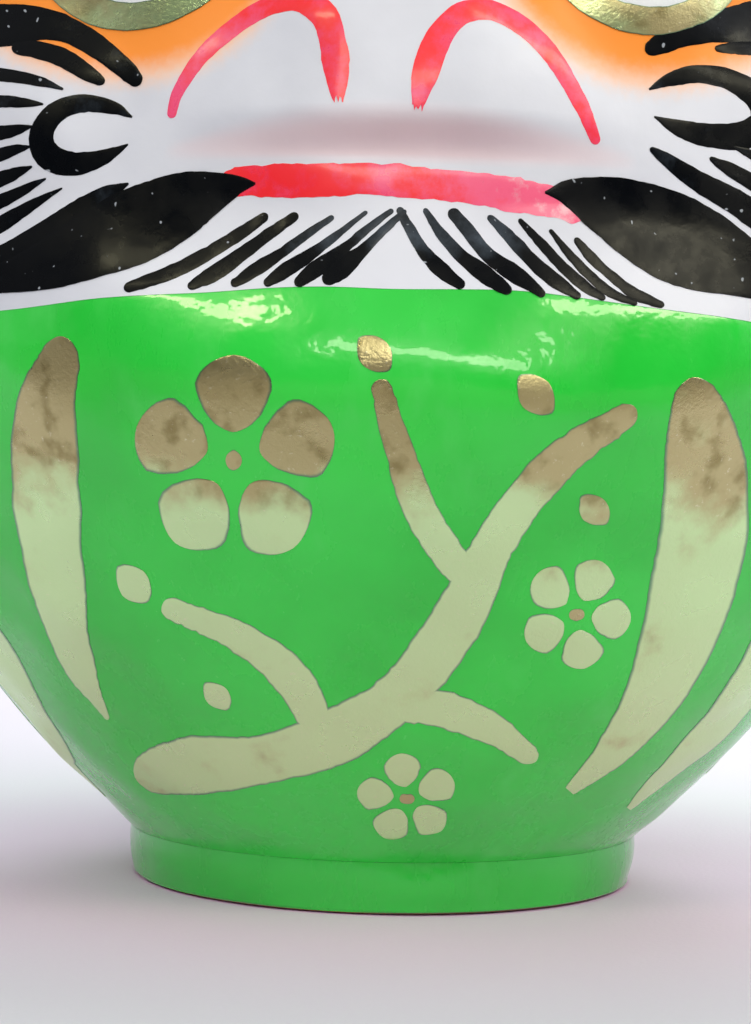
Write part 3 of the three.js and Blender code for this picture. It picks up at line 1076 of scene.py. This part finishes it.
CURL_LEFT = [
    (-51, 166, 0.2), (-55, 168, 1.3), (-61, 169, 1.8), (-66.5, 167.5, 2.3), (-69.5, 163.5, 2.6),
    (-69, 159.5, 2.8), (-65, 157, 2.6), (-60, 157, 2.1), (-55.5, 158.5, 1.4), (-51.5, 160.5, 0.2),
]
BEARD_RIGHT = [
    [
        (50.5, 181.5, 1.2), (54, 183.5, 2.1), (58, 185, 1.9), (63, 187, 2.6), (69, 189, 3.7),
        (77, 191, 4.4), (91, 193, 3.0),
    ],
    [(65, 183.5, 0.5), (69, 184, 1.3), (74, 184.5, 1.5), (85, 186, 1.6), (97, 187.5, 0.6)],
    [(80, 178.5, 0.2), (86, 179.5, 1.3), (93, 181, 1.5), (101, 182.5, 0.6)],
    [(81, 173.5, 0.2), (87, 174, 1.3), (95, 174.5, 1.5), (103, 175, 0.6)],
    [(81, 168.5, 0.2), (87, 168, 1.3), (95, 167.5, 1.5), (104, 166.5, 0.6)],
    [(76, 163.5, 0.2), (82, 162, 1.3), (92, 159, 1.5), (104, 156, 0.6)],
    [(69, 163.5, 0.3), (74, 161.5, 1.2), (83, 157, 1.6), (93, 153, 1.6), (103, 149, 0.6)],
    [(64, 161, 0.4), (68, 159, 1.4), (73.5, 156, 1.7), (85, 149.5, 1.8), (99, 142.5, 0.7)],
    [
        (51.5, 162, 0.5), (56, 159.5, 1.5), (62, 156, 2.0), (69, 152.5, 2.5), (78, 147, 2.9),
        (88, 141.5, 2.6), (97, 138, 0.8),
    ],
]
CURL_RIGHT = [
    (51.5, 174, 0.2), (56, 176.5, 1.4), (62, 178, 2.0), (68.5, 177, 2.3), (74, 173.5, 2.6),
    (75, 169, 2.8), (71, 166, 2.8), (64.5, 165.5, 2.5), (58, 166.5, 1.8), (52.5, 168.5, 0.2),
]


class DARUMA_OT_beard(Maker, bpy.types.Operator):
    """Paint the strokes and the open curl on each cheek"""

    bl_idname = "daruma.beard"
    bl_label = "Cheek Strokes"

    def execute(self, context):
        lift = coat_height(ON_GROUND)
        sides = (("left", 300, BEARD_LEFT, CURL_LEFT), ("right", 340, BEARD_RIGHT, CURL_RIGHT))
        for side, seed, routes, curl in sides:
            hairs = [
                stroke(route, lift + 0.03, seed + number, load=denser(0.85))
                for number, route in enumerate(routes)
            ]
            hairs.append(stroke(curl, lift, seed + 30, ("sharp", "sharp"), load=denser(0.8)))
            brushwork(f"cheek_strokes_{side}", hairs, glossy_soot_ink)
        return {"FINISHED"}


# The right brow, from the bridge of the nose outwards, and the feathers that leave it.
BROW = [
    (13, 231, 1.4), (20, 237.5, 4.4), (33, 243.5, 7.2), (49, 245.5, 7.8), (65, 243, 7.0),
    (80, 236.5, 5.2), (92, 226, 2.8), (99, 214, 0.3),
]
FEATHERS = [
    [(24, 242, 1.4), (29, 249.5, 2.0), (36, 255.5, 0.4)],
    [(38, 248.5, 1.6), (44, 254, 2.0), (53, 257, 0.4)],
    [(53, 249, 1.6), (61, 252, 2.0), (70, 252, 0.4)],
    [(68, 244, 1.6), (76, 245.5, 1.9), (85, 243.5, 0.4)],
    [(80, 236, 1.6), (88, 235, 1.8), (96, 230.5, 0.4)],
]


class DARUMA_OT_brows(Maker, bpy.types.Operator):
    """Paint the feathered brows"""

    bl_idname = "daruma.brows"
    bl_label = "Brows"

    def execute(self, context):
        lift = coat_height(ON_GROUND)
        strokes = []
        for seed, turn in ((400, mirrored), (420, list)):
            strokes.append(stroke(turn(BROW), lift + 0.1, seed, ("round", "sharp")))
            for number, route in enumerate(FEATHERS, start=1):
                strokes.append(stroke(turn(route), lift, seed + number, ("round", "sharp")))
        brushwork("brows", strokes, glossy_soot_ink)
        return {"FINISHED"}


# ---- Gold on the robe ----


def browner_above_as_painted_reflection(share, height):
    """A brush load that rises towards the top of the belly, so the gold there is drawn brown as painted
    reflection of a darker room, and paler below.
    """
    return smooth(height, 80, 104)


BAND_LEFT = [
    (-63.5, 122, 2.6), (-64.5, 117, 4.4), (-67, 109, 6.2), (-68, 99, 7.4), (-68.5, 86, 7.6),
    (-67, 70, 6.4), (-64, 54, 4.0), (-58.5, 42, 0.5),
]
BAND_RIGHT = [
    (60, 116.5, 2.6), (61, 112.5, 5.0), (63, 105, 7.6), (65, 95, 9.4), (65.5, 82, 10.0), (63.5, 67, 9.2),
    (59, 52, 7.4), (51.5, 39, 4.6), (42.5, 29, 1.6),
]
# Folds round each side, in degrees from the front. The foremost one differs from side to side.
FOLD_LEFT = [
    (-49, 118, 3.0), (-52, 112, 7.0), (-54.5, 98, 10.5), (-57.5, 80, 12.5), (-59.7, 63, 13),
    (-63.5, 48, 12.5), (-65, 41, 11), (-69, 32, 7.5), (-69.5, 26, 4.5), (-69, 20, 1.2),
]
FOLD_RIGHT = [
    (44, 118, 3.0), (46, 112, 7.0), (49, 98, 10.5), (51.5, 80, 12.8), (53, 66, 13.5), (54.4, 51, 13),
    (54.2, 43, 11.5), (52.4, 36, 9.0), (50, 29, 5.5), (48.5, 23, 1.5),
]
SIDE_FOLDS = [
    [(76, 120, 3.0), (78, 104, 6.6), (79.5, 84, 7.6), (80, 62, 6.6), (79.5, 42, 4.2), (78, 28, 0.8)],
    [(78, 210, 1.6), (83, 193, 4.4), (87, 173, 6.0), (89, 153, 5.2), (89.5, 134, 1.0)],
    [(99, 232, 1.4), (105, 207, 4.4), (109, 179, 6.0), (110, 151, 5.2), (109, 124, 1.0)],
    [(108, 112, 2.6), (108.5, 96, 6.0), (107.5, 76, 6.6), (105.5, 56, 5.2), (103, 36, 1.0)],
]


class DARUMA_OT_robe_folds(Maker, bpy.types.Operator):
    """Brush the gold folds of the robe down the belly, the sides and the shoulders"""

    bl_idname = "daruma.robe_folds"
    bl_label = "Robe Folds"

    def execute(self, context):
        bands = [
            stroke(BAND_LEFT, ON_ROBE, 51, rough=0.15, load=browner_above_as_painted_reflection),
            stroke(BAND_RIGHT, ON_ROBE, 52, ("round", "sharp"), rough=0.15, load=browner_above_as_painted_reflection),
        ]
        brushwork("robe_bands", bands, bronze_powder_paint)
        sides = (("left", 500, mirrored, FOLD_LEFT), ("right", 520, list, FOLD_RIGHT))
        for side, seed, turn, foremost in sides:
            routes = [foremost, *(turn(route) for route in SIDE_FOLDS)]
            folds = [
                stroke(route, ON_ROBE, seed + number, ("round", "sharp"), True, 0.2, load=browner_above_as_painted_reflection)
                for number, route in enumerate(routes)
            ]
            brushwork(f"side_folds_{side}", folds, bronze_powder_paint)
        return {"FINISHED"}


def rim_route(away, low, high, half):
    """A line outside the white ground, from low to high in degrees, at a distance from its edge."""
    route = []
    for turn in np.radians(np.linspace(low, high, 25)):
        over, up = math.cos(turn), math.sin(turn)
        square = BROW_SQUARENESS if up > 0 else GROUND_SQUARENESS
        reach = (abs(over) ** square + abs(up) ** square) ** (-1 / square)
        x = (GROUND_HALF_WIDTH + away) * over * reach
        z = FACE_HEIGHT + (GROUND_RISE + away if up > 0 else GROUND_DROP) * up * reach
        route.append((math.degrees(float(front_angle(x, z))), z, half))
    return route


class DARUMA_OT_hood(Maker, bpy.types.Operator):
    """Brush the gold lines of the hood round the face"""

    bl_idname = "daruma.hood"
    bl_label = "Hood Lines"

    def execute(self, context):
        lines = [
            stroke(rim_route(4.5, -14, 194, 2.8), ON_ROBE, 71, around=True, rough=0.2, load=half_full),
            stroke(rim_route(13, 28, 152, 1.4), ON_ROBE, 72, around=True, rough=0.2, load=half_full),
        ]
        brushwork("hood_lines", lines, bronze_powder_paint)
        return {"FINISHED"}


# ---- Belly motif: a branch of plum blossom ----

BRANCHES = [
    [
        (-53, 29, 4.4), (-40, 33, 6.6), (-24, 36, 5.6), (-8, 42, 6.2), (6, 53, 5.2), (16, 68, 5.4),
        (23, 84, 4.2), (34, 99, 4.0), (49, 110, 2.4),
    ],
    [(-11, 41, 3.4), (-17, 54, 4.0), (-28, 63, 3.2), (-44, 69, 2.2)],
    [(19, 74, 3.2), (9, 87, 3.4), (3, 101, 2.8), (-1, 114, 1.8)],
    [(3, 49, 3.2), (14, 48.5, 4.0), (25, 44, 3.2), (34, 37, 2.0)],
]
BLOSSOMS = [(-29, 98, 1.06, 90), (40, 69, 0.6, 66), (7, 28, 0.56, 100)]
BUDS = [(-50, 73, 4.8), (-2, 119, 4.4), (42, 90, 4.0), (29, 112, 4.8), (-33, 50, 3.8)]


def petals(x, z, scale, turn, seed):
    """Five loaded dabs round a small one."""
    made = [stroke([(x - 1.6, z, 1.8 * scale), (x + 1.6, z, 1.8 * scale)], ON_ROBE, seed + 9, rough=0.25)]
    for number in range(5):
        way = math.radians(turn + 72 * number)
        dab = [(5.2, 2.4), (9.5, 5.6), (14.5, 7.3), (19.2, 6.4)]
        route = [
            (x + math.cos(way) * away * scale, z + math.sin(way) * away * scale, half * scale)
            for away, half in dab
        ]
        made.append(stroke(route, ON_ROBE, seed + number, rough=0.25, load=browner_above_as_painted_reflection))
    return made


class DARUMA_OT_belly_motif(Maker, bpy.types.Operator):
    """Brush a branch of plum blossom on the belly"""

    bl_idname = "daruma.belly_motif"
    bl_label = "Belly Motif"

    def execute(self, context):
        wood = [
            stroke(route, ON_ROBE, 610 + number, rough=0.25, load=browner_above_as_painted_reflection)
            for number, route in enumerate(BRANCHES)
        ]
        brushwork("plum_branch", wood, bronze_powder_paint)
        flowers = []
        for number, (x, z, scale, turn) in enumerate(BLOSSOMS):
            flowers += petals(x, z, scale, turn, 640 + 10 * number)
        for number, (x, z, radius) in enumerate(BUDS):
            lean, tip = 0.5 * radius, 0.8 * radius
            route = [(x - lean, z - lean, tip), (x, z, radius), (x + lean, z + lean, tip)]
            flowers.append(stroke(route, ON_ROBE + 0.02, 690 + number, rough=0.25, load=browner_above_as_painted_reflection))
        brushwork("plum_blossoms", flowers, bronze_powder_paint)
        return {"FINISHED"}


# ---- Stage ----

# Name, place, width, height, watts, tint, and whether it shows in the gloss.
LAMPS = [
    ("front_bounce", (-0.25, -1.2, 0.7), 1.4, 1.0, 4.6, "#D4E1FF", False),
    ("overhead", (-0.1, 0.1, 1.4), 1.2, 1.2, 5.4, "#EEF3FF", False),
    ("window_left", (-0.68, -1.1, 1.02), 0.5, 0.1, 3.0, "#FFF8CC", True),
    ("window_right", (0.88, -0.9, 0.97), 0.75, 0.18, 5.2, "#FFF8D8", True),
    ("window_middle", (0.16, -1.2, 0.58), 0.85, 0.14, 3.4, "#FFFAEA", True),
    ("side_window", (1.1, -0.55, 0.75), 0.35, 0.8, 2.0, "#F4F8FF", True),
    ("back_window", (0.3, 1.2, 0.9), 1.0, 0.6, 8.6, "#F8F8FF", True),
]
AIM_HEIGHT = 0.12


def soft_room(tree):
    """A pale room that is darker in front of the doll, as the gloss sees it, and pale to the camera."""
    back = tree.nodes["Background"]
    way = add(tree, "TexCoord").node.outputs["Generated"]
    parts = add(tree, "SeparateXYZ", (way,)).node
    sky = add(tree, "MapRange", (parts.outputs["Z"], -0.1, 0.7), **SOFT)
    pale = add(tree, "Mix", (sky, linear("#DAD7DC"), linear("#F4F4F6")), **COLOUR)
    front = add(tree, "MapRange", (parts.outputs["Y"], -0.45, -0.62), **SOFT)
    low = add(tree, "MapRange", (parts.outputs["Z"], 0.75, 0.4), **SOFT)
    dark = add(tree, "Math", (front, low), operation="MULTIPLY")
    seen = add(tree, "LightPath").node.outputs["Is Camera Ray"]
    unseen = add(tree, "Math", (1.0, seen), operation="SUBTRACT")
    dark = add(tree, "Math", (dark, unseen), operation="MULTIPLY")
    room = add(tree, "Mix", (dark, pale, linear("#6C6E76")), **COLOUR)
    tree.links.new(room, back.inputs["Color"])
    strength = add(tree, "MapRange", (seen, 0.0, 1.0, 0.55, 0.95))
    tree.links.new(strength, back.inputs["Strength"])


class DARUMA_OT_stage(Maker, bpy.types.Operator):
    """Set the pale sheet, the soft lights and the camera"""

    bl_idname = "daruma.stage"
    bl_label = "Stage"

    def execute(self, context):
        stage = context.scene.daruma_stage
        deselect()
        bpy.ops.mesh.primitive_plane_add(size=40, location=(0, 0, -0.0002))
        floor = context.object
        floor.name = "table_sheet"
        floor.data.materials.append(table_sheet("pale_paper_sheet", stage))

        eye = (stage.camera_side, -stage.camera_distance, stage.camera_height)
        bpy.ops.object.camera_add(location=eye, rotation=(math.pi / 2, stage.camera_roll, 0))
        camera = context.object
        camera.name = "camera"
        camera.data.lens = stage.lens
        camera.data.clip_start = 0.01
        context.scene.camera = camera

        world = bpy.data.worlds.new("soft_room")
        context.scene.world = world
        world.use_nodes = True
        soft_room(world.node_tree)

        for name, spot, width, height, watts, tint, glossy in LAMPS:
            bpy.ops.object.light_add(type="AREA", location=spot)
            lamp = context.object
            lamp.name = name
            lamp.data.shape = "RECTANGLE"
            lamp.data.size = width
            lamp.data.size_y = height
            lamp.data.energy = watts
            lamp.data.color = linear(tint)[:3]
            lamp.visible_glossy = glossy
            away = lamp.location.copy()
            away.z -= AIM_HEIGHT
            lamp.rotation_euler = away.to_track_quat("Z", "Y").to_euler()

        context.scene.view_settings.view_transform = "Standard"
        return {"FINISHED"}


# ---- Panel and registration ----

MAKERS = [
    DARUMA_OT_stage,
    DARUMA_OT_shell,
    DARUMA_OT_seam_strip,
    DARUMA_OT_foot,
    DARUMA_OT_underside,
    DARUMA_OT_face_ground,
    DARUMA_OT_eyes,
    DARUMA_OT_red_marks,
    DARUMA_OT_moustache,
    DARUMA_OT_beard,
    DARUMA_OT_brows,
    DARUMA_OT_robe_folds,
    DARUMA_OT_hood,
    DARUMA_OT_belly_motif,
]


class DARUMA_PT_panel(bpy.types.Panel):
    """The doll's settings and the operators that make it"""

    bl_idname = "DARUMA_PT_panel"
    bl_label = "Daruma Doll"
    bl_space_type = "VIEW_3D"
    bl_region_type = "UI"
    bl_category = "Daruma"

    def draw(self, context):
        layout = self.layout
        scene = context.scene
        for group in (scene.daruma_body, scene.daruma_colours, scene.daruma_stage):
            box = layout.box()
            for name in group.__annotations__:
                box.prop(group, name)
        for maker in MAKERS:
            layout.operator(maker.bl_idname)


CLASSES = [DarumaColours, DarumaBody, DarumaStage, *MAKERS, DARUMA_PT_panel]


def register():
    for cls in CLASSES:
        bpy.utils.register_class(cls)
    bpy.types.Scene.daruma_colours = PointerProperty(type=DarumaColours)
    bpy.types.Scene.daruma_body = PointerProperty(type=DarumaBody)
    bpy.types.Scene.daruma_stage = PointerProperty(type=DarumaStage)


def unregister():
    del bpy.types.Scene.daruma_stage
    del bpy.types.Scene.daruma_body
    del bpy.types.Scene.daruma_colours
    for cls in reversed(CLASSES):
        bpy.utils.unregister_class(cls)


def main():
    register()
    bpy.ops.daruma.stage()
    bpy.ops.daruma.shell()
    bpy.ops.daruma.seam_strip()
    bpy.ops.daruma.foot()
    bpy.ops.daruma.underside()
    bpy.ops.daruma.face_ground()
    bpy.ops.daruma.eyes()
    bpy.ops.daruma.red_marks()
    bpy.ops.daruma.moustache()
    bpy.ops.daruma.beard()
    bpy.ops.daruma.brows()
    bpy.ops.daruma.robe_folds()
    bpy.ops.daruma.hood()
    bpy.ops.daruma.belly_motif()


if __name__ == "__main__":
    main()
